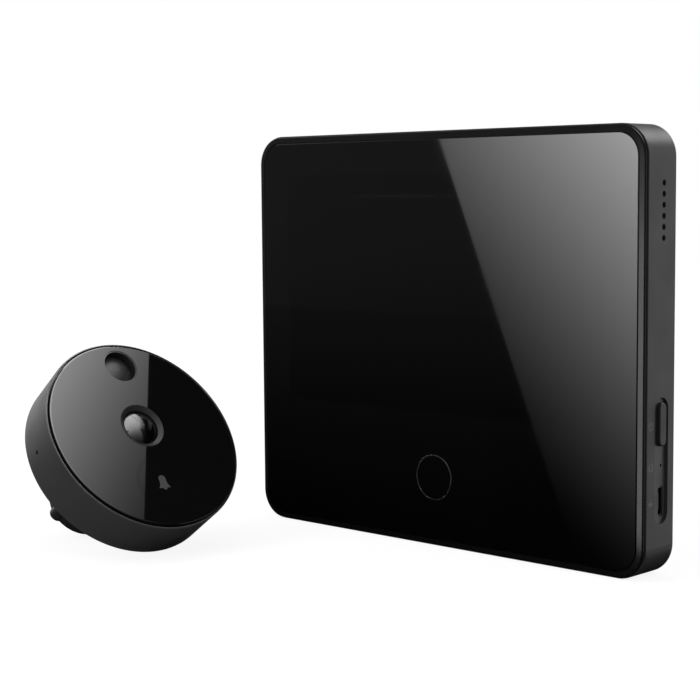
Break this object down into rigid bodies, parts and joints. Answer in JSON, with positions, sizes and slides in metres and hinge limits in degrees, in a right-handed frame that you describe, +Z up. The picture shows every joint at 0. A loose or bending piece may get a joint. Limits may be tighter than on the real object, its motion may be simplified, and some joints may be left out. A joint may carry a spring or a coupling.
{
  "type": "peephole door camera",
  "caption": "Slim indoor touch monitor standing on its lower edge, with a round outdoor camera unit and its door tube lying beside it.",
  "frame": {"origin": "centre of the monitor's flat bottom edge, on the surface that both units rest on", "axes": "+Z up, +Y from the screen towards the monitor's back, +X towards the monitor's key side"},
  "size_m": [0.1714, 0.101, 0.118],
  "materials": {
    "monitor_shell": "satin dark grey",
    "bezel": "satin dark grey",
    "cover_glass": "polished, printed black behind",
    "tape": "matt black adhesive",
    "display": "dark, switched off",
    "backlight": "white film",
    "ribbon": "amber film",
    "home_ring": "polished",
    "home_cap": "polished black",
    "switch": "moulded black",
    "circuit_board": "green lacquer",
    "screw": "zinc",
    "chip": "moulded black",
    "shield_can": "tinned",
    "capacitor": "ceramic",
    "battery": "foil pouch",
    "mesh": "woven black",
    "inner_plastic": "moulded black",
    "cone": "film",
    "magnet": "nickel",
    "side_key": "satin dark grey",
    "port_steel": "stamped",
    "connector": "moulded ivory",
    "plate_steel": "zinc plated",
    "outdoor_shell": "satin dark grey anodised",
    "front_glass": "polished, printed black behind",
    "lens_ring": "polished black",
    "lens_glass": "polished, dark",
    "sleeve": "polished black",
    "motion_window": "dark polyethylene",
    "lamp": "dark clear",
    "doorbell_cap": "polished black",
    "symbol": "inlaid grey",
    "light_ring": "smoked clear",
    "tube_metal": "satin dark grey anodised",
    "gasket": "foam"
  },
  "bodies": {
    "monitor": {"rear_housing": "monitor_shell", "bezel_frame": "bezel", "cover_glass": "cover_glass", "glass_tape": "tape", "display_panel": "display", "backlight_unit": "backlight", "display_ribbon": "ribbon", "home_button_ring": "home_ring", "home_button_switch": "switch", "main_board": "circuit_board", "board_screws": "screw", "processor_chip": "chip", "memory_chip": "chip", "wireless_module": "shield_can", "board_capacitors": "capacitor", "antenna_strip": "ribbon", "battery_cell": "battery", "battery_tape": "tape", "speaker_mesh": "mesh", "speaker_frame": "inner_plastic", "speaker_cone": "cone", "speaker_magnet": "magnet", "power_switch": "switch", "reset_switch": "switch", "usb_socket": "port_steel", "usb_tongue": "inner_plastic", "microphone": "shield_can", "cable_socket": "connector", "housing_screws": "screw"},
    "home_button": {"home_button_cap": "home_cap"},
    "power_button": {"power_key": "side_key"},
    "reset_button": {"reset_plunger": "inner_plastic"},
    "wall_plate": {"mounting_plate": "plate_steel"},
    "outdoor_unit": {"outer_housing": "outdoor_shell", "front_seal": "tape", "front_glass": "front_glass", "lens_ring": "lens_ring", "lens_dome": "lens_glass", "lens_barrel": "inner_plastic", "lens_elements": "lens_glass", "image_sensor": "chip", "motion_sleeve": "sleeve", "motion_window": "motion_window", "motion_sensor": "shield_can", "infrared_lamps": "lamp", "doorbell_light_ring": "light_ring", "doorbell_switch": "switch", "outdoor_board": "circuit_board", "outdoor_board_screws": "screw", "outdoor_socket": "connector", "outdoor_microphone": "shield_can", "door_tube": "tube_metal", "door_gasket": "gasket"},
    "doorbell": {"doorbell_button": "doorbell_cap", "bell_symbol": "symbol"}
  },
  "joints": [
    {"name": "home_press", "type": "slide", "parent": "monitor", "child": "home_button", "axis": [0, 1, 0], "range_m": [0, 0.0004], "stiffness_N_per_m": 2000},
    {"name": "power_press", "type": "slide", "parent": "monitor", "child": "power_button", "axis": [-1, 0, 0], "range_m": [0, 0.0006], "stiffness_N_per_m": 1500},
    {"name": "reset_press", "type": "slide", "parent": "monitor", "child": "reset_button", "axis": [-1, 0, 0], "range_m": [0, 0.00025], "stiffness_N_per_m": 1500},
    {"name": "plate_release", "type": "slide", "parent": "monitor", "child": "wall_plate", "axis": [0, 0, -1], "range_m": [0, 0.004]},
    {"name": "unit_lift", "type": "slide", "parent": "monitor", "child": "outdoor_unit", "axis": [0, 0, 1], "range_m": [0, 0.08]},
    {"name": "doorbell_press", "type": "slide", "parent": "outdoor_unit", "child": "doorbell", "axis": [-0.8007, 0.042, -0.5976], "range_m": [0, 0.0005], "stiffness_N_per_m": 2500}
  ]
}
